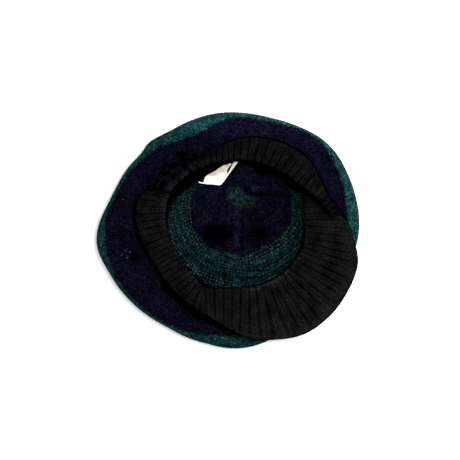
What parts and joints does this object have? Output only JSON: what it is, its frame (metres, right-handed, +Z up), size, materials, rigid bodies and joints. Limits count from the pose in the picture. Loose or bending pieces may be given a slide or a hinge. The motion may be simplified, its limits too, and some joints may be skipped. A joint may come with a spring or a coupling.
{
  "type": "peaked knitted tam",
  "caption": "Striped knitted tam with a turned-in ribbed headband and a stiff rib-covered peak, lying upside down with its opening up.",
  "frame": {"origin": "under the middle of the hat, on the surface that it lies on upside down", "axes": "+Z up out of the opening, +X along the hat's longer side, the peak towards +X -Y"},
  "size_m": [0.2803, 0.2519, 0.0379],
  "materials": {
    "navy_and_green_knit": "brushed wool knit in navy and green stripes",
    "black_rib_knit": "black wool rib",
    "white_label_tape": "smooth white tape"
  },
  "bodies": {
    "root": {"crown": "navy_and_green_knit", "rib_band": "black_rib_knit", "peak": "black_rib_knit", "label": "white_label_tape"}
  },
  "joints": []
}
